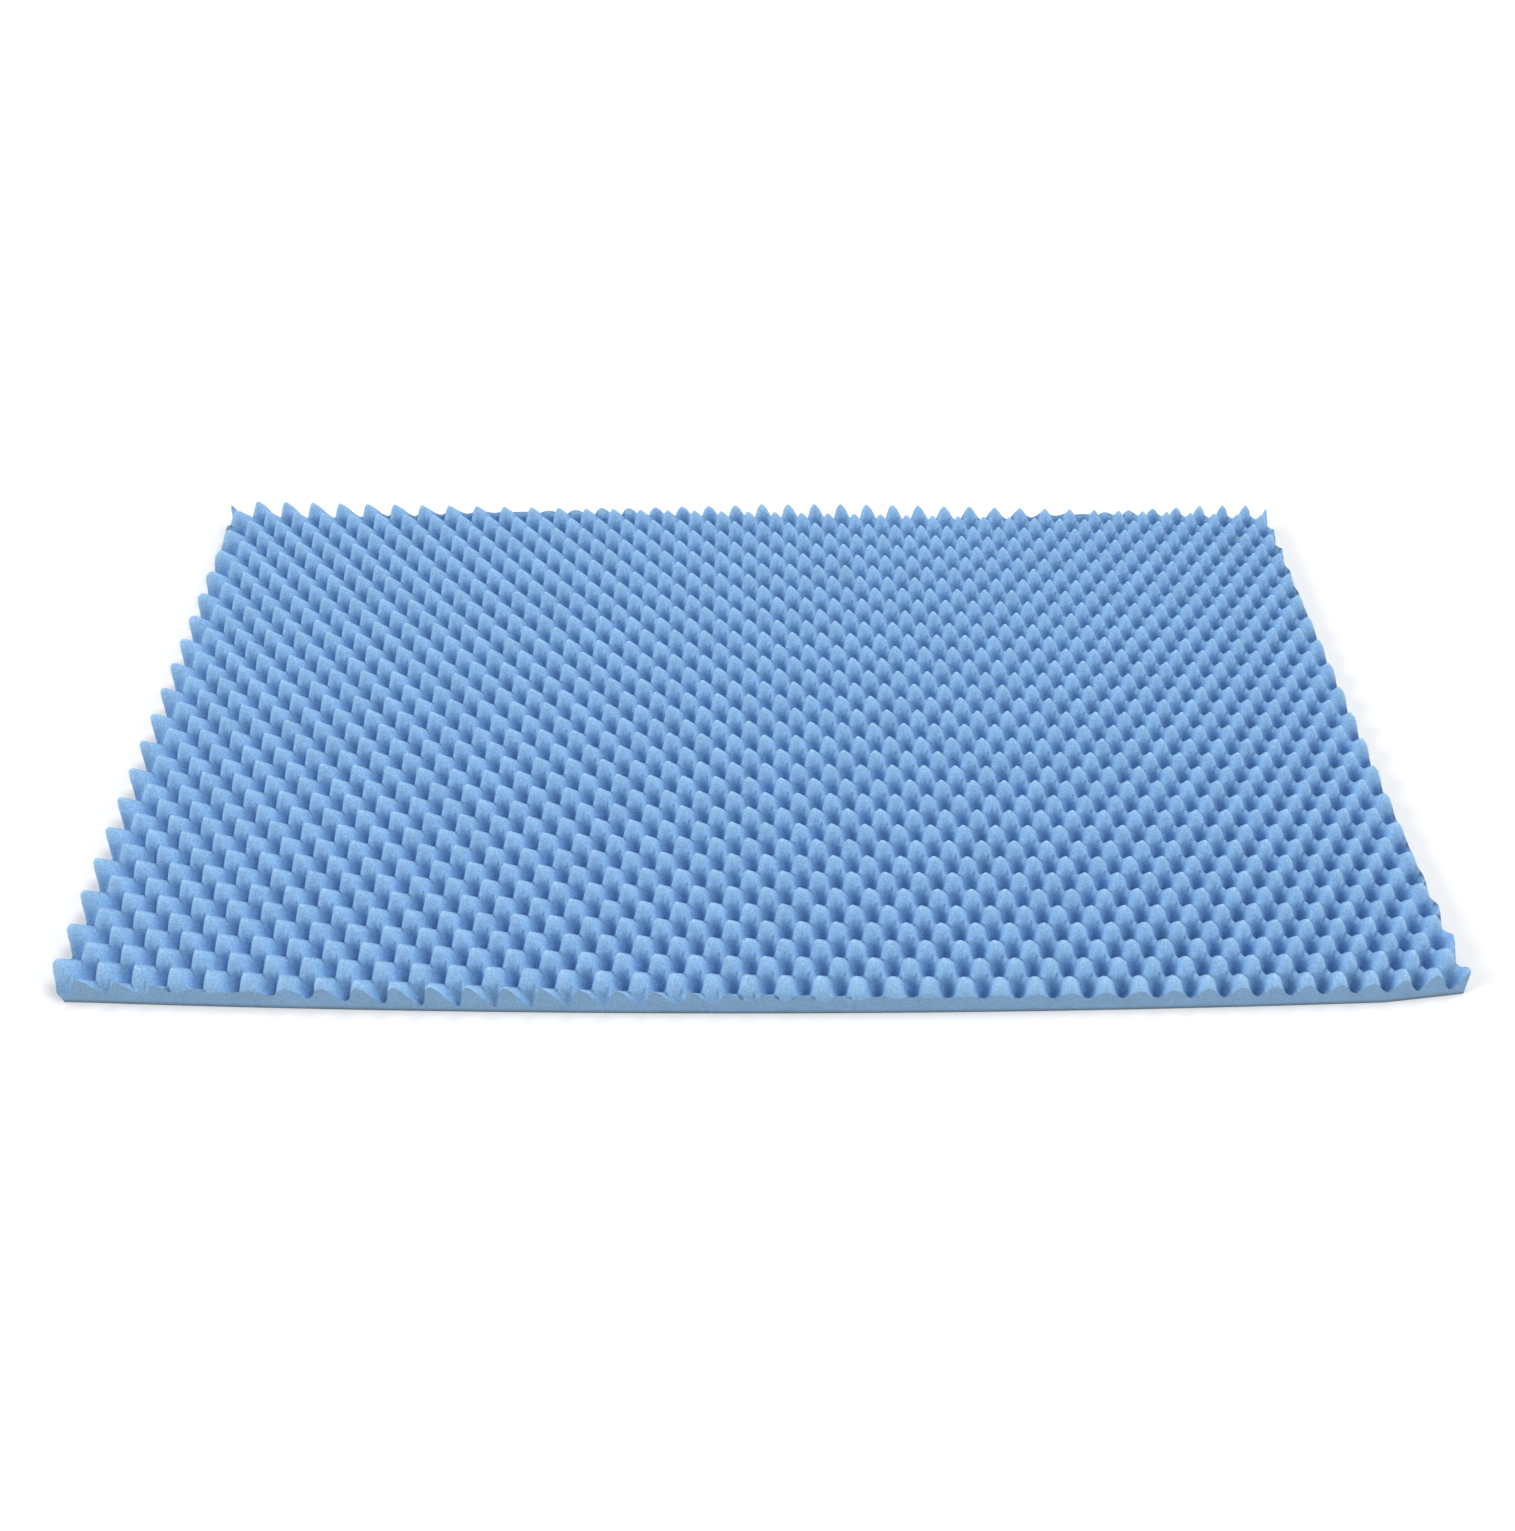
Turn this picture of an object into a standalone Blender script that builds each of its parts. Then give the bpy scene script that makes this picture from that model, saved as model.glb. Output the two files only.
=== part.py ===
"""A mattress topper of one piece of convoluted foam, lying flat.

The upper face is an even lattice of rounded peaks and pits. The lattice is turned a little
against the four sawn sides, so the peaks are sliced at a changing place along each side.
Metres, +Z up. The underside rests on z = 0 and the middle of the pad stands over the origin.
"""
import math

import bmesh
import bpy

# Half sizes of the pad, and where its four sides are sawn
HALF_WIDTH = 0.9145
HALF_DEPTH = 0.4175
SAW_LEFT, SAW_RIGHT = -0.9145, 0.9145
SAW_FRONT, SAW_BACK = -0.4110, 0.4175
BASE_HEIGHT = 0.010
RELIEF_HEIGHT = 0.046

# The lattice of peaks and pits. Its middle counts peaks from the lattice's own start.
PEAK_SPACING = 0.0473
HALF_SPACING = PEAK_SPACING / 2
LATTICE_TURN = math.radians(1.14)
LATTICE_MIDDLE = (-3.85, 8.55)
COLUMNS = range(-52, 38)
ROWS = range(-6, 42)

# How blunt the peaks are along and across the pad, and how full the foam is between them
COLUMN_SHARPNESS = 0.85
ROW_SHARPNESS = 1.0
HOLLOWNESS = 0.9

# How far the foam has crept from an even lattice, in metres, at the half width and half depth.
# Each row is one bend: the powers of the way across and of the way back, and its two shifts.
CREEP = (
    {"across": 1, "back": 0, "right": 0.0000, "rear": -0.0022},
    {"across": 0, "back": 1, "right": -0.0007, "rear": -0.0051},
    {"across": 2, "back": 0, "right": -0.0248, "rear": 0.0017},
    {"across": 1, "back": 1, "right": 0.0006, "rear": -0.0041},
    {"across": 3, "back": 0, "right": -0.0178, "rear": -0.0019},
    {"across": 2, "back": 1, "right": -0.0046, "rear": -0.0106},
    {"across": 1, "back": 2, "right": -0.0069, "rear": 0.0002},
    {"across": 0, "back": 3, "right": 0.0019, "rear": -0.0023},
)

# How far the foam beside a saw line is spread outward: at the side's middle, more toward its ends,
# and its slant along the side. It fades out this far inside the line.
FRONT_SPREAD = {"middle": 0.0033, "ends": 0.0021, "slant": 0.0011}
LEFT_SPREAD = {"middle": 0.0066, "ends": 0.0, "slant": 0.0}
RIGHT_SPREAD = {"middle": 0.0070, "ends": 0.0, "slant": -0.0050}
SPREAD_REACH = 0.055

# How each sawn side bows off its straight line: at its middle, more toward its ends, and its slant
FRONT_BOW = {"middle": -0.0075, "ends": 0.0160, "slant": -0.0045}
BACK_BOW = {"middle": -0.0040, "ends": 0.0080, "slant": 0.0040}
LEFT_BOW = {"middle": 0.0040, "ends": -0.0060, "slant": -0.0030}
RIGHT_BOW = {"middle": 0.0, "ends": 0.0025, "slant": -0.0065}

# Two stretches are sawn at a slant, further in than the rest: the last one of the front side by
# this depth at its corner, and the right half of the back side. The slants fade out inward.
FRONT_SLANT = 0.008
BACK_SLANT = {"middle": 0.0010, "ends": 0.0059, "slant": 0.0049}
SLANT_LENGTH = 0.11

# The foam leans to the left and to the back for each metre that it rises over this level
LEAN_LEFT = 0.17
LEAN_BACK = 0.18
LEAN_LEVEL = 0.036

# The foam of the left side lies a little further out
LEFT_OUT = 0.006
LEFT_REACH = 0.030

# Lattice points this near a saw line are moved onto it, which leaves no slivers
SNAP = 0.0045
MARGIN = 0.0005

# Cells with a corner this near a side are plain, and the underside has a point every few cells
PLAIN_BORDER = 0.008
WALL_STEP = 6

FOAM_COLOUR = (0.270, 0.490, 0.760, 1.0)
FOAM_ROUGHNESS = 0.92


def clear_scene():
    for thing in list(bpy.data.objects):
        bpy.data.objects.remove(thing, do_unlink=True)


def foam_material():
    material = bpy.data.materials.new("foam_blue")
    material.use_nodes = True
    shader = material.node_tree.nodes["Principled BSDF"]
    shader.inputs["Base Color"].default_value = FOAM_COLOUR
    shader.inputs["Roughness"].default_value = FOAM_ROUGHNESS
    shader.inputs["Metallic"].default_value = 0.0
    return material


def wave(count, sharpness):
    height = math.cos(math.pi * count)
    return math.copysign(abs(height) ** sharpness, height)


def surface_height(column, row):
    """Height of the upper face. Pits are where column + row is even, peaks where it is odd."""
    swell = -wave(column, COLUMN_SHARPNESS) * wave(row, ROW_SHARPNESS)
    return BASE_HEIGHT + RELIEF_HEIGHT * ((1 + swell) / 2) ** HOLLOWNESS


def creep(x, y):
    across = x / HALF_WIDTH
    back = y / HALF_DEPTH
    right = sum(b["right"] * across ** b["across"] * back ** b["back"] for b in CREEP)
    rear = sum(b["rear"] * across ** b["across"] * back ** b["back"] for b in CREEP)
    return x + right, y + rear


def bow(side, way):
    return side["middle"] + side["ends"] * way * way + side["slant"] * way


def nearness(place, half_size, reach):
    """Nothing further in than the reach, one on the side's line, and more past it."""
    return max(0.0, 1 - (half_size - place) / reach)


def slant(x, y):
    """How far back a slanted stretch takes the side at this place, or forward where negative."""
    near_right = nearness(x, HALF_WIDTH, SLANT_LENGTH)
    near_front = nearness(-y, HALF_DEPTH, SLANT_LENGTH)
    near_back = nearness(y, HALF_DEPTH, SLANT_LENGTH)
    return FRONT_SLANT * near_right * near_front - bow(BACK_SLANT, x / HALF_WIDTH) * near_back


def spread(x, y):
    """The foam beside a saw line lies further outward, and a slant leaves the foam in its place."""
    across, back = x / HALF_WIDTH, y / HALF_DEPTH
    right = bow(RIGHT_SPREAD, back) * nearness(x, HALF_WIDTH, SPREAD_REACH) ** 2
    left = bow(LEFT_SPREAD, back) * nearness(-x, HALF_WIDTH, SPREAD_REACH) ** 2
    front = bow(FRONT_SPREAD, across) * nearness(-y, HALF_DEPTH, SPREAD_REACH) ** 2
    return x + right - left, y - front - slant(x, y)


def lattice_point(column, row):
    """Place of a lattice point over the pad before the sides are sawn."""
    along = column * HALF_SPACING
    deep = row * HALF_SPACING
    turn_cos, turn_sin = math.cos(LATTICE_TURN), math.sin(LATTICE_TURN)
    x = turn_cos * along + turn_sin * deep - LATTICE_MIDDLE[0] * PEAK_SPACING
    y = -turn_sin * along + turn_cos * deep - LATTICE_MIDDLE[1] * PEAK_SPACING
    return spread(*creep(x, y))


def snapped(x, y):
    for line in (SAW_LEFT, SAW_RIGHT):
        if abs(x - line) < SNAP:
            x = line
    for line in (SAW_FRONT, SAW_BACK):
        if abs(y - line) < SNAP:
            y = line
    return x, y


def is_inside(x, y, border):
    within_width = SAW_LEFT + border < x < SAW_RIGHT - border
    within_depth = SAW_FRONT + border < y < SAW_BACK - border
    return within_width and within_depth


def add_upper_face(bm):
    """Four triangles round a saddle for a whole cell, one plain face for a cell near a side."""
    corners = {}
    for column in COLUMNS:
        for row in ROWS:
            x, y = snapped(*lattice_point(column, row))
            corners[column, row] = (x, y, surface_height(column, row))
    verts = {}

    def vert(key):
        if key not in verts:
            verts[key] = bm.verts.new(corners[key])
        return verts[key]

    for column in COLUMNS[:-1]:
        for row in ROWS[:-1]:
            ring = [(column, row), (column + 1, row), (column + 1, row + 1), (column, row + 1)]
            if not any(is_inside(*corners[key][:2], -MARGIN) for key in ring):
                continue
            if not all(is_inside(*corners[key][:2], PLAIN_BORDER) for key in ring):
                bm.faces.new([vert(key) for key in ring])
                continue
            x, y = lattice_point(column + 0.5, row + 0.5)
            saddle = bm.verts.new((x, y, surface_height(column + 0.5, row + 0.5)))
            for n in range(4):
                bm.faces.new((vert(ring[n]), vert(ring[(n + 1) % 4]), saddle))


def saw_sides(bm):
    """Four saw cuts, each taking away what lies beyond it."""
    cuts = (
        ((SAW_RIGHT, 0, 0), (1, 0, 0)),
        ((SAW_LEFT, 0, 0), (-1, 0, 0)),
        ((0, SAW_BACK, 0), (0, 1, 0)),
        ((0, SAW_FRONT, 0), (0, -1, 0)),
    )
    for point, normal in cuts:
        everything = bm.verts[:] + bm.edges[:] + bm.faces[:]
        bmesh.ops.bisect_plane(bm, geom=everything, dist=1e-6, plane_co=point,
                               plane_no=normal, clear_outer=True)
    loose = [v for v in bm.verts if not v.link_faces]
    bmesh.ops.delete(bm, geom=loose, context="VERTS")


def boundary_loop(bm):
    """Vertices round the rim, in order."""
    beside = {}
    for edge in bm.edges:
        if edge.is_boundary:
            for vertex in edge.verts:
                beside.setdefault(vertex, []).append(edge)
    start = next(iter(beside))
    loop = [start]
    edge = beside[start][0]
    vertex = edge.other_vert(start)
    while vertex is not start:
        loop.append(vertex)
        edge = next(e for e in beside[vertex] if e is not edge)
        vertex = edge.other_vert(vertex)
    return loop


def is_corner(vertex):
    wide = min(abs(vertex.co.x - SAW_LEFT), abs(vertex.co.x - SAW_RIGHT)) < MARGIN
    deep = min(abs(vertex.co.y - SAW_FRONT), abs(vertex.co.y - SAW_BACK)) < MARGIN
    return wide and deep


def foot_places(rim):
    """Places along the rim that have a point below them: each corner, and one every few points."""
    places = [0]
    for n in range(1, len(rim)):
        if is_corner(rim[n]):
            if n - places[-1] < WALL_STEP // 2:
                places.pop()
            places.append(n)
        elif n - places[-1] >= WALL_STEP:
            places.append(n)
    if len(rim) - places[-1] < WALL_STEP // 2:
        places.pop()
    return places


def close_body(bm):
    """Sawn walls below the rim and one flat underside."""
    rim = boundary_loop(bm)
    first = next(n for n, vertex in enumerate(rim) if is_corner(vertex))
    rim = rim[first:] + rim[:first]
    places = foot_places(rim)
    feet = [bm.verts.new((rim[n].co.x, rim[n].co.y, 0.0)) for n in places]
    flat_faces = [bm.faces.new(feet)]
    for n, place in enumerate(places):
        following = places[n + 1] if n + 1 < len(places) else len(rim)
        top = [rim[k % len(rim)] for k in range(place, following + 1)]
        flat_faces.append(bm.faces.new(top + [feet[(n + 1) % len(feet)], feet[n]]))
    return flat_faces


def lay_down(bm):
    """The pad lies a little unevenly: its sides bow, and its foam leans to the left and back."""
    for vertex in bm.verts:
        x, y, z = vertex.co
        across = x / HALF_WIDTH
        back = y / HALF_DEPTH
        shift_x = bow(LEFT_BOW, back) * (1 - across) / 2 + bow(RIGHT_BOW, back) * (1 + across) / 2
        shift_y = bow(FRONT_BOW, across) * (1 - back) / 2 + bow(BACK_BOW, across) * (1 + back) / 2
        shift_x -= LEFT_OUT * nearness(-x, HALF_WIDTH, LEFT_REACH)
        vertex.co.x += shift_x - LEAN_LEFT * (z - LEAN_LEVEL)
        vertex.co.y += shift_y + LEAN_BACK * (z - LEAN_LEVEL) + slant(x, y)


def centre_body(bm):
    xs = [v.co.x for v in bm.verts]
    ys = [v.co.y for v in bm.verts]
    middle = ((min(xs) + max(xs)) / 2, (min(ys) + max(ys)) / 2)
    for vertex in bm.verts:
        vertex.co.x -= middle[0]
        vertex.co.y -= middle[1]


def build_pad():
    bm = bmesh.new()
    add_upper_face(bm)
    saw_sides(bm)
    flat_faces = close_body(bm)
    for face in bm.faces:
        face.smooth = True
    for face in flat_faces:
        face.smooth = False
    bmesh.ops.triangulate(bm, faces=bm.faces[:], quad_method="BEAUTY", ngon_method="BEAUTY")
    bmesh.ops.recalc_face_normals(bm, faces=bm.faces[:])
    lay_down(bm)
    centre_body(bm)
    mesh = bpy.data.meshes.new("foam_pad")
    bm.to_mesh(mesh)
    bm.free()
    mesh.materials.append(foam_material())
    pad = bpy.data.objects.new("foam_pad", mesh)
    bpy.context.scene.collection.objects.link(pad)


def main():
    clear_scene()
    build_pad()


main()
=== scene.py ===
import math

import bmesh
import bpy
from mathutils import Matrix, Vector, noise


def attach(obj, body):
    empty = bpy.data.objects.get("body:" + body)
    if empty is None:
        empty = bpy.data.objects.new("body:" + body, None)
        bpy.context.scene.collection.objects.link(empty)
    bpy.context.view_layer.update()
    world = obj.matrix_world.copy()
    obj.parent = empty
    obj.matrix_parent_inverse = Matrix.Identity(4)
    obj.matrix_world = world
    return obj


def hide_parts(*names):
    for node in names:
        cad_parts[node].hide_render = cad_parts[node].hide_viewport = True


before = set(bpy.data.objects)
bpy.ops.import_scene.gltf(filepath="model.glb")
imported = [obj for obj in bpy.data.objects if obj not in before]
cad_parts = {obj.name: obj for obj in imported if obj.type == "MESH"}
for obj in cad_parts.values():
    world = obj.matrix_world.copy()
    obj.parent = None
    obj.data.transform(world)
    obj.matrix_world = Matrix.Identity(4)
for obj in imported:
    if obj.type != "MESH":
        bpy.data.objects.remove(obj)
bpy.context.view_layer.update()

# Half sizes of the pad, where its four sides are sawn, and its heights
HALF_WIDTH = 0.9145
HALF_DEPTH = 0.4175
SAW_LEFT, SAW_RIGHT = -0.9145, 0.9145
SAW_FRONT, SAW_BACK = -0.4110, 0.4175
BASE_HEIGHT = 0.010
RELIEF_HEIGHT = 0.046
PEAK_HEIGHT = BASE_HEIGHT + RELIEF_HEIGHT

# The lattice of peaks and pits. Its middle counts peaks from the lattice's own start.
PEAK_SPACING = 0.0473
HALF_SPACING = PEAK_SPACING / 2
LATTICE_TURN = math.radians(1.14)
LATTICE_MIDDLE = (-3.85, 8.55)

# How blunt the peaks are along and across the pad, and how full the foam is between them
COLUMN_SHARPNESS = 0.85
ROW_SHARPNESS = 1.0
HOLLOWNESS = 0.9

# Lattice counts, in half spacings, that reach past all four sides of the pad
FIRST_COLUMN, LAST_COLUMN = -52, 38
FIRST_ROW, LAST_ROW = -6, 42

# Steps of the fine surface from a pit to the next peak, closer together near both
STEPS = 5

# How far the foam has crept from an even lattice, in metres, at the half width and half depth.
# Each row is one bend: the powers of the way across and of the way back, and its two shifts.
CREEP = (
    {"across": 1, "back": 0, "right": 0.0000, "rear": -0.0022},
    {"across": 0, "back": 1, "right": -0.0007, "rear": -0.0051},
    {"across": 2, "back": 0, "right": -0.0248, "rear": 0.0017},
    {"across": 1, "back": 1, "right": 0.0006, "rear": -0.0041},
    {"across": 3, "back": 0, "right": -0.0178, "rear": -0.0019},
    {"across": 2, "back": 1, "right": -0.0046, "rear": -0.0106},
    {"across": 1, "back": 2, "right": -0.0069, "rear": 0.0002},
    {"across": 0, "back": 3, "right": 0.0019, "rear": -0.0023},
)

# How far the foam beside a saw line is spread outward: at the side's middle, more toward its ends,
# and its slant along the side. It fades out this far inside the line.
FRONT_SPREAD = {"middle": 0.0033, "ends": 0.0021, "slant": 0.0011}
LEFT_SPREAD = {"middle": 0.0066, "ends": 0.0, "slant": 0.0}
RIGHT_SPREAD = {"middle": 0.0070, "ends": 0.0, "slant": -0.0050}
SPREAD_REACH = 0.055

# How each sawn side bows off its straight line: at its middle, more toward its ends, and its slant
FRONT_BOW = {"middle": -0.0075, "ends": 0.0160, "slant": -0.0045}
BACK_BOW = {"middle": -0.0040, "ends": 0.0080, "slant": 0.0040}
LEFT_BOW = {"middle": 0.0040, "ends": -0.0060, "slant": -0.0030}
RIGHT_BOW = {"middle": 0.0, "ends": 0.0025, "slant": -0.0065}

# Two stretches are sawn at a slant, further in than the rest: the right end of the front side, by
# this depth at its corner, and the back side, most at its right end. The slants fade out inward.
FRONT_SLANT = 0.008
BACK_SLANT = {"middle": 0.0010, "ends": 0.0059, "slant": 0.0049}
SLANT_LENGTH = 0.11

# The foam leans to the left and to the back for each metre that it rises over this level
LEAN_LEFT = 0.17
LEAN_BACK = 0.18
LEAN_LEVEL = 0.036

# The foam of the left side lies a little further out
LEFT_OUT = 0.006
LEFT_REACH = 0.030

# Unevenness of the soft foam: how high and how wide the swells are
SWELL_HEIGHT = 0.0008
SWELL_WIDTH = 0.070

# Fine surface points this near a saw line are moved onto it, which leaves no slivers. Cells with a
# corner less than the margin outside the saw lines are kept for the cut, which has a tolerance.
SNAP = 0.0008
MARGIN = 0.0003
CUT_TOLERANCE = 1e-6

# Places of the three foam materials on the pad
MOULDED_SLOT, SAWN_SLOT, UNDER_SLOT = 0, 1, 2

# Colours of the foam. The tips have its own colour, and the pits are painted darker as shade. The
# sawn walls have a greyer tone of their own, also painted darker as shade, and a painted contact
# shadow along their foot. Also the heights where the painted pit shade starts to fade into the tip
# colour and where the painted contact shadow ends.
TIP_COLOUR = (0.305, 0.530, 0.800, 1.0)
PIT_SHADE_COLOUR = (0.195, 0.385, 0.650, 1.0)
# The sawn foam's own greyer tone, painted darker as shade
SAWN_TONE_AND_SHADE = (0.180, 0.350, 0.560, 1.0)
CONTACT_SHADOW_COLOUR = (0.060, 0.115, 0.170, 1.0)
PIT_SHADE_TOP = BASE_HEIGHT + 0.35 * RELIEF_HEIGHT
CONTACT_SHADOW_HEIGHT = 0.008

# How the foam scatters light
FOAM_ROUGHNESS = 0.92
SHEEN_WEIGHT = 0.15
SHEEN_ROUGHNESS = 0.5

# Fine detail of the foam: soft blotches, grain and open cells, each with its noise scale. The
# first two darken and lighten the colour between their shades over the usual span of a noise.
BLOTCH_SCALE, BLOTCH_DETAIL = 28.0, 3.0
BLOTCH_SHADES = (0.94, 1.06)
GRAIN_SCALE, GRAIN_DETAIL = 330.0, 2.0
GRAIN_SHADES = (0.84, 1.16)
CELL_SCALE = 750.0
NOISE_SPAN = (0.3, 0.7)

# Relief of the cells and of the grain, in metres
BUMP_STRENGTH = 0.5
CELL_DEPTH = 0.0004
GRAIN_DEPTH = 0.0006

# The camera, in the row frame, as the photograph was taken
CAMERA_PLACE = (-0.0605, -0.9733, 1.6136)
CAMERA_TURN = (44.413, -1.294, -0.833)
CAMERA_LENS = 27.75
CAMERA_SENSOR = 36.0
CAMERA_RISE = -0.206

# Light from a pale sky and four broad lamps, in degrees. Azimuth 0 is in front, 90 at the right.
SKY_STRENGTH = 0.38
LAMP_SPREAD = 25.0
LAMPS = (
    {"name": "left_lamp", "azimuth": 275.0, "height": 30.0, "strength": 1.60},
    {"name": "right_lamp", "azimuth": 75.0, "height": 32.0, "strength": 0.95},
    {"name": "rear_lamp", "azimuth": 122.0, "height": 58.0, "strength": 1.30},
    {"name": "rear_left_lamp", "azimuth": 225.0, "height": 55.0, "strength": 0.40},
)

# The floor lies a hair under the pad, so that the two faces don't share a plane
FLOOR_SIZE = 30.0
FLOOR_LEVEL = -0.0004
FLOOR_COLOUR = (0.90, 0.90, 0.90, 1.0)


def wave(count, sharpness):
    """A cosine, 1 at even counts and -1 at odd ones. A sharpness under one makes it blunter."""
    height = math.cos(math.pi * count)
    return math.copysign(abs(height) ** sharpness, height)


def surface_height(column, row):
    """Height of the upper face. Pits are where column + row is even, peaks where it is odd."""
    swell = -wave(column, COLUMN_SHARPNESS) * wave(row, ROW_SHARPNESS)
    return BASE_HEIGHT + RELIEF_HEIGHT * ((1 + swell) / 2) ** HOLLOWNESS


def creep(x, y):
    """Where the foam of this place on the even lattice has crept to."""
    across = x / HALF_WIDTH
    back = y / HALF_DEPTH
    right = sum(b["right"] * across ** b["across"] * back ** b["back"] for b in CREEP)
    rear = sum(b["rear"] * across ** b["across"] * back ** b["back"] for b in CREEP)
    return x + right, y + rear


def bow(side, way):
    """One side's shift at this way along it, from -1 at its left or front end to 1 at the other."""
    return side["middle"] + side["ends"] * way * way + side["slant"] * way


def nearness(place, half_size, reach):
    """Nothing further in than the reach, one on the side's line, and more past it."""
    return max(0.0, 1 - (half_size - place) / reach)


def slant(x, y):
    """How far back a slanted stretch takes the side at this place, or forward where negative."""
    near_right = nearness(x, HALF_WIDTH, SLANT_LENGTH)
    near_front = nearness(-y, HALF_DEPTH, SLANT_LENGTH)
    near_back = nearness(y, HALF_DEPTH, SLANT_LENGTH)
    return FRONT_SLANT * near_right * near_front - bow(BACK_SLANT, x / HALF_WIDTH) * near_back


def spread(x, y):
    """The foam beside a saw line lies further outward, and a slant leaves the foam in its place."""
    across, back = x / HALF_WIDTH, y / HALF_DEPTH
    right = bow(RIGHT_SPREAD, back) * nearness(x, HALF_WIDTH, SPREAD_REACH) ** 2
    left = bow(LEFT_SPREAD, back) * nearness(-x, HALF_WIDTH, SPREAD_REACH) ** 2
    front = bow(FRONT_SPREAD, across) * nearness(-y, HALF_DEPTH, SPREAD_REACH) ** 2
    return x + right - left, y - front - slant(x, y)


def lattice_point(column, row):
    """Place of a lattice point over the pad before the sides are sawn."""
    along = column * HALF_SPACING
    deep = row * HALF_SPACING
    turn_cos, turn_sin = math.cos(LATTICE_TURN), math.sin(LATTICE_TURN)
    x = turn_cos * along + turn_sin * deep - LATTICE_MIDDLE[0] * PEAK_SPACING
    y = -turn_sin * along + turn_cos * deep - LATTICE_MIDDLE[1] * PEAK_SPACING
    return spread(*creep(x, y))


def fine_places(first, last):
    """Lattice counts from first to last, with close steps near each whole count."""
    inner = [(1 - math.cos(math.pi * step / STEPS)) / 2 for step in range(STEPS)]
    return [whole + part for whole in range(first, last) for part in inner] + [last]


def snapped(x, y):
    """The same place, moved onto a saw line that is very near."""
    for line in (SAW_LEFT, SAW_RIGHT):
        if abs(x - line) < SNAP:
            x = line
    for line in (SAW_FRONT, SAW_BACK):
        if abs(y - line) < SNAP:
            y = line
    return x, y


def is_inside(x, y):
    within_width = SAW_LEFT - MARGIN < x < SAW_RIGHT + MARGIN
    within_depth = SAW_FRONT - MARGIN < y < SAW_BACK + MARGIN
    return within_width and within_depth


def unevenness(x, y, height):
    """Soft swells that fade out toward the foam's solid base."""
    swell = noise.noise(Vector((x, y, 0.0)) / SWELL_WIDTH)
    return SWELL_HEIGHT * swell * (height - BASE_HEIGHT) / RELIEF_HEIGHT


def add_upper_face(bm):
    columns = fine_places(FIRST_COLUMN, LAST_COLUMN)
    rows = fine_places(FIRST_ROW, LAST_ROW)
    places = {}
    for m, column in enumerate(columns):
        for n, row in enumerate(rows):
            x, y = lattice_point(column, row)
            places[m, n] = (*snapped(x, y), surface_height(column, row))
    verts = {}

    def vert(key):
        if key not in verts:
            x, y, z = places[key]
            verts[key] = bm.verts.new((x, y, z + unevenness(x, y, z)))
        return verts[key]

    for m in range(len(columns) - 1):
        for n in range(len(rows) - 1):
            ring = [(m, n), (m + 1, n), (m + 1, n + 1), (m, n + 1)]
            if any(is_inside(*places[key][:2]) for key in ring):
                bm.faces.new([vert(key) for key in ring])


def saw_sides(bm):
    """Four saw cuts, each taking away what lies beyond it."""
    cuts = (
        ((SAW_RIGHT, 0, 0), (1, 0, 0)),
        ((SAW_LEFT, 0, 0), (-1, 0, 0)),
        ((0, SAW_BACK, 0), (0, 1, 0)),
        ((0, SAW_FRONT, 0), (0, -1, 0)),
    )
    for point, normal in cuts:
        everything = bm.verts[:] + bm.edges[:] + bm.faces[:]
        bmesh.ops.bisect_plane(bm, geom=everything, dist=CUT_TOLERANCE, plane_co=point,
                               plane_no=normal, clear_outer=True)
    loose = [v for v in bm.verts if not v.link_faces]
    bmesh.ops.delete(bm, geom=loose, context="VERTS")


def close_body(bm):
    """Sawn walls below the rim and a flat underside."""
    rim = [edge for edge in bm.edges if edge.is_boundary]
    made = bmesh.ops.extrude_edge_only(bm, edges=rim)["geom"]
    for part in made:
        if isinstance(part, bmesh.types.BMVert):
            part.co.z = 0.0
    walls = [part for part in made if isinstance(part, bmesh.types.BMFace)]
    feet = [edge for edge in bm.edges if edge.is_boundary]
    floor = bmesh.ops.contextual_create(bm, geom=feet)["faces"]
    return walls, floor


def lay_down(bm):
    """The pad lies a little unevenly: its sides bow, and its foam leans to the left and back."""
    for vertex in bm.verts:
        x, y, z = vertex.co
        across = x / HALF_WIDTH
        back = y / HALF_DEPTH
        shift_x = bow(LEFT_BOW, back) * (1 - across) / 2 + bow(RIGHT_BOW, back) * (1 + across) / 2
        shift_y = bow(FRONT_BOW, across) * (1 - back) / 2 + bow(BACK_BOW, across) * (1 + back) / 2
        shift_x -= LEFT_OUT * nearness(-x, HALF_WIDTH, LEFT_REACH)
        vertex.co.x += shift_x - LEAN_LEFT * (z - LEAN_LEVEL)
        vertex.co.y += shift_y + LEAN_BACK * (z - LEAN_LEVEL) + slant(x, y)


def centre_body(bm):
    """The middle of the pad's outline goes over the origin."""
    xs = [v.co.x for v in bm.verts]
    ys = [v.co.y for v in bm.verts]
    middle = ((min(xs) + max(xs)) / 2, (min(ys) + max(ys)) / 2)
    for vertex in bm.verts:
        vertex.co.x -= middle[0]
        vertex.co.y -= middle[1]


def new_node(nodes, kind, values):
    """A node of this kind, with these values on its named inputs."""
    node = nodes.new(kind)
    for socket, value in values.items():
        node.inputs[socket].default_value = value
    return node


def colour_by_height(nodes, links, place, low, low_colour, high, high_colour):
    """The low colour up to the low height, the high one from the high height, mixed between."""
    parts = nodes.new("ShaderNodeSeparateXYZ")
    links.new(place, parts.inputs["Vector"])
    rise = new_node(nodes, "ShaderNodeMapRange", {"From Min": low, "From Max": high})
    links.new(parts.outputs["Z"], rise.inputs["Value"])
    mixed = nodes.new("ShaderNodeMix")
    mixed.data_type = "RGBA"
    mixed.inputs["A"].default_value = low_colour
    mixed.inputs["B"].default_value = high_colour
    links.new(rise.outputs["Result"], mixed.inputs["Factor"])
    return mixed.outputs["Result"]


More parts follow.
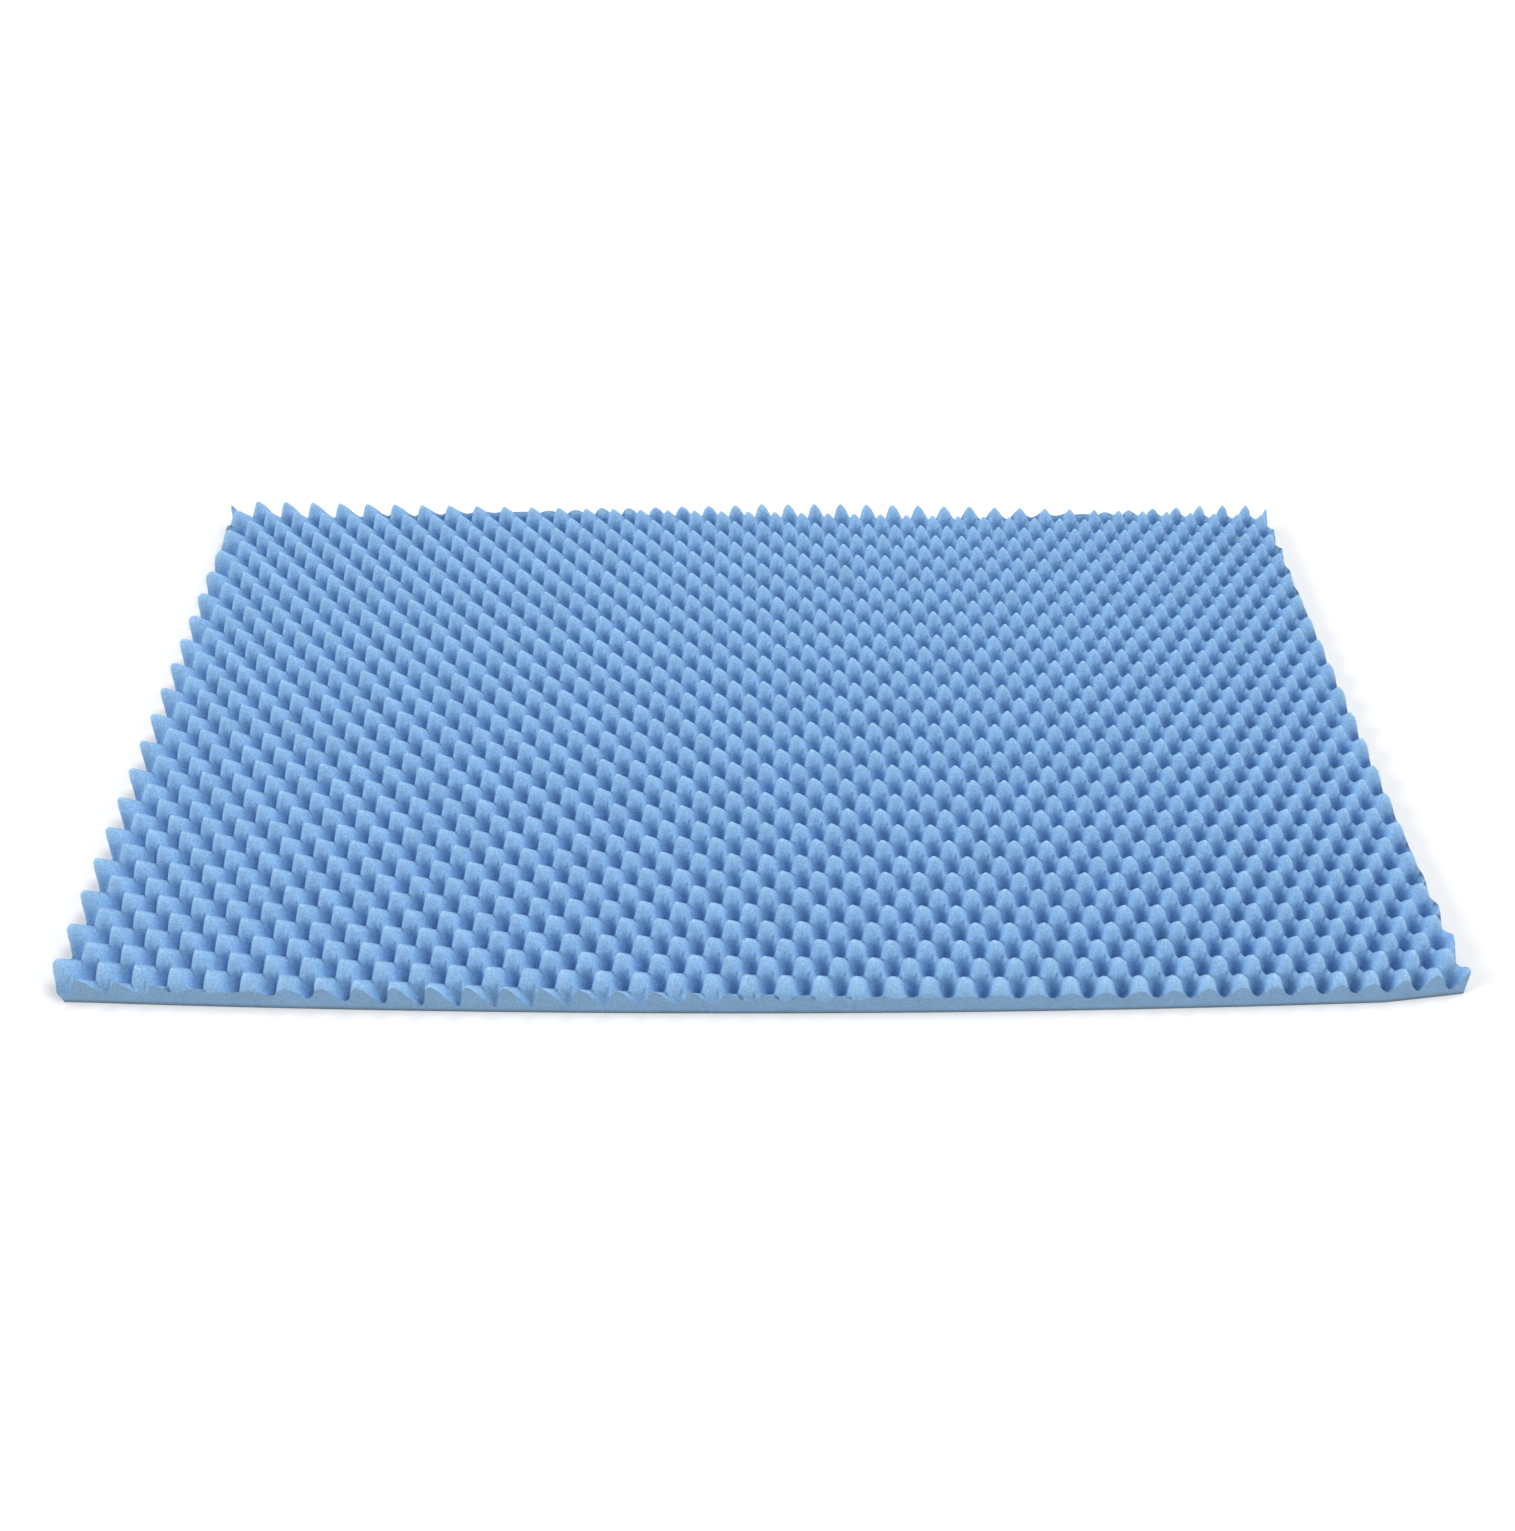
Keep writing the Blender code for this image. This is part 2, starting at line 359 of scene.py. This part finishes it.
def noise_shades(nodes, links, texture, darkest, lightest):
    """A noise turned into factors from the darkest shade to the lightest."""
    low, high = NOISE_SPAN
    limits = {"From Min": low, "From Max": high, "To Min": darkest, "To Max": lightest}
    mapped = new_node(nodes, "ShaderNodeMapRange", limits)
    links.new(texture.outputs["Fac"], mapped.inputs["Value"])
    return mapped.outputs["Result"]


def fine_relief(nodes, links, texture_value, depth):
    """Relief of this depth, finer than the mesh, that follows a texture."""
    relief = new_node(nodes, "ShaderNodeBump", {"Strength": BUMP_STRENGTH, "Distance": depth})
    links.new(texture_value, relief.inputs["Height"])
    return relief


def foam_material(name, low, low_colour, high, high_colour):
    """Matte foam: a colour at each of two heights, soft blotches, and the grain of its cells."""
    material = bpy.data.materials.new(name)
    material.use_nodes = True
    nodes = material.node_tree.nodes
    links = material.node_tree.links
    shader = nodes["Principled BSDF"]
    shader.inputs["Roughness"].default_value = FOAM_ROUGHNESS
    shader.inputs["Sheen Weight"].default_value = SHEEN_WEIGHT
    shader.inputs["Sheen Roughness"].default_value = SHEEN_ROUGHNESS

    place = nodes.new("ShaderNodeTexCoord").outputs["Object"]
    blotch = new_node(nodes, "ShaderNodeTexNoise", {"Scale": BLOTCH_SCALE, "Detail": BLOTCH_DETAIL})
    grain = new_node(nodes, "ShaderNodeTexNoise", {"Scale": GRAIN_SCALE, "Detail": GRAIN_DETAIL})
    cells = new_node(nodes, "ShaderNodeTexVoronoi", {"Scale": CELL_SCALE})
    for texture in (blotch, grain, cells):
        links.new(place, texture.inputs["Vector"])

    both = nodes.new("ShaderNodeMath")
    both.operation = "MULTIPLY"
    links.new(noise_shades(nodes, links, blotch, *BLOTCH_SHADES), both.inputs[0])
    links.new(noise_shades(nodes, links, grain, *GRAIN_SHADES), both.inputs[1])
    # Painted shade: the colour darkens toward the low height, in the moulded foam's pits and at the
    # foot of the sawn walls
    colour = colour_by_height(nodes, links, place, low, low_colour, high, high_colour)
    shade = nodes.new("ShaderNodeVectorMath")
    shade.operation = "SCALE"
    links.new(colour, shade.inputs[0])
    links.new(both.outputs["Value"], shade.inputs["Scale"])
    links.new(shade.outputs["Vector"], shader.inputs["Base Color"])

    pores = fine_relief(nodes, links, cells.outputs["Distance"], CELL_DEPTH)
    lumps = fine_relief(nodes, links, grain.outputs["Fac"], GRAIN_DEPTH)
    links.new(pores.outputs["Normal"], lumps.inputs["Normal"])
    links.new(lumps.outputs["Normal"], shader.inputs["Normal"])
    return material


def mark_faces(bm, walls, floor):
    """Moulded faces are smooth. Sawn walls and the underside are flat and have own materials."""
    for face in bm.faces:
        face.smooth = True
        face.material_index = MOULDED_SLOT
    for face in walls:
        face.smooth = False
        face.material_index = SAWN_SLOT
    for face in floor:
        face.smooth = False
        face.material_index = UNDER_SLOT


def pad_mesh():
    bm = bmesh.new()
    add_upper_face(bm)
    saw_sides(bm)
    walls, floor = close_body(bm)
    mark_faces(bm, walls, floor)
    bmesh.ops.recalc_face_normals(bm, faces=bm.faces[:])
    lay_down(bm)
    centre_body(bm)
    mesh = bpy.data.meshes.new("topper_foam")
    bm.to_mesh(mesh)
    bm.free()
    return mesh


def make_pad():
    mesh = pad_mesh()
    # The moulded foam is painted darker in its pits as shade
    moulded = foam_material("moulded_foam", PIT_SHADE_TOP, PIT_SHADE_COLOUR, PEAK_HEIGHT, TIP_COLOUR)
    # The sawn walls get a painted contact shadow along their foot
    sawn = foam_material("sawn_foam", 0.0, CONTACT_SHADOW_COLOUR, CONTACT_SHADOW_HEIGHT, SAWN_TONE_AND_SHADE)
    under = foam_material("under_foam", 0.0, SAWN_TONE_AND_SHADE, CONTACT_SHADOW_HEIGHT, SAWN_TONE_AND_SHADE)
    for material in (moulded, sawn, under):
        mesh.materials.append(material)
    pad = bpy.data.objects.new("topper_foam", mesh)
    bpy.context.scene.collection.objects.link(pad)
    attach(pad, "root")
    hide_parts("foam_pad")


def make_floor():
    half = FLOOR_SIZE / 2
    mesh = bpy.data.meshes.new("floor")
    corners = [(-half, -half, 0), (half, -half, 0), (half, half, 0), (-half, half, 0)]
    mesh.from_pydata(corners, [], [(0, 1, 2, 3)])
    floor = bpy.data.objects.new("floor", mesh)
    bpy.context.scene.collection.objects.link(floor)
    material = bpy.data.materials.new("floor_paint")
    material.use_nodes = True
    shader = material.node_tree.nodes["Principled BSDF"]
    shader.inputs["Base Color"].default_value = FLOOR_COLOUR
    shader.inputs["Roughness"].default_value = 1.0
    shader.inputs["Specular IOR Level"].default_value = 0.0
    mesh.materials.append(material)
    floor.location.z = FLOOR_LEVEL


def make_light():
    world = bpy.data.worlds.new("pale_sky")
    world.use_nodes = True
    sky = world.node_tree.nodes["Background"]
    sky.inputs["Color"].default_value = (1.0, 1.0, 1.0, 1.0)
    sky.inputs["Strength"].default_value = SKY_STRENGTH
    bpy.context.scene.world = world
    for row in LAMPS:
        lamp = bpy.data.lights.new(row["name"], "SUN")
        lamp.energy = row["strength"]
        lamp.angle = math.radians(LAMP_SPREAD)
        stand = bpy.data.objects.new(row["name"], lamp)
        bpy.context.scene.collection.objects.link(stand)
        around, up = math.radians(row["azimuth"]), math.radians(row["height"])
        level = math.cos(up)
        toward = Vector((level * math.sin(around), -level * math.cos(around), math.sin(up)))
        stand.rotation_euler = toward.to_track_quat("Z", "Y").to_euler()


def make_camera():
    camera = bpy.data.objects.new("camera", bpy.data.cameras.new("camera"))
    bpy.context.scene.collection.objects.link(camera)
    camera.location = CAMERA_PLACE
    camera.rotation_euler = [math.radians(angle) for angle in CAMERA_TURN]
    camera.data.sensor_width = CAMERA_SENSOR
    camera.data.lens = CAMERA_LENS
    camera.data.shift_y = CAMERA_RISE
    bpy.context.scene.camera = camera


make_camera()
make_light()
make_floor()
make_pad()
bpy.context.scene.view_settings.view_transform = "Standard"
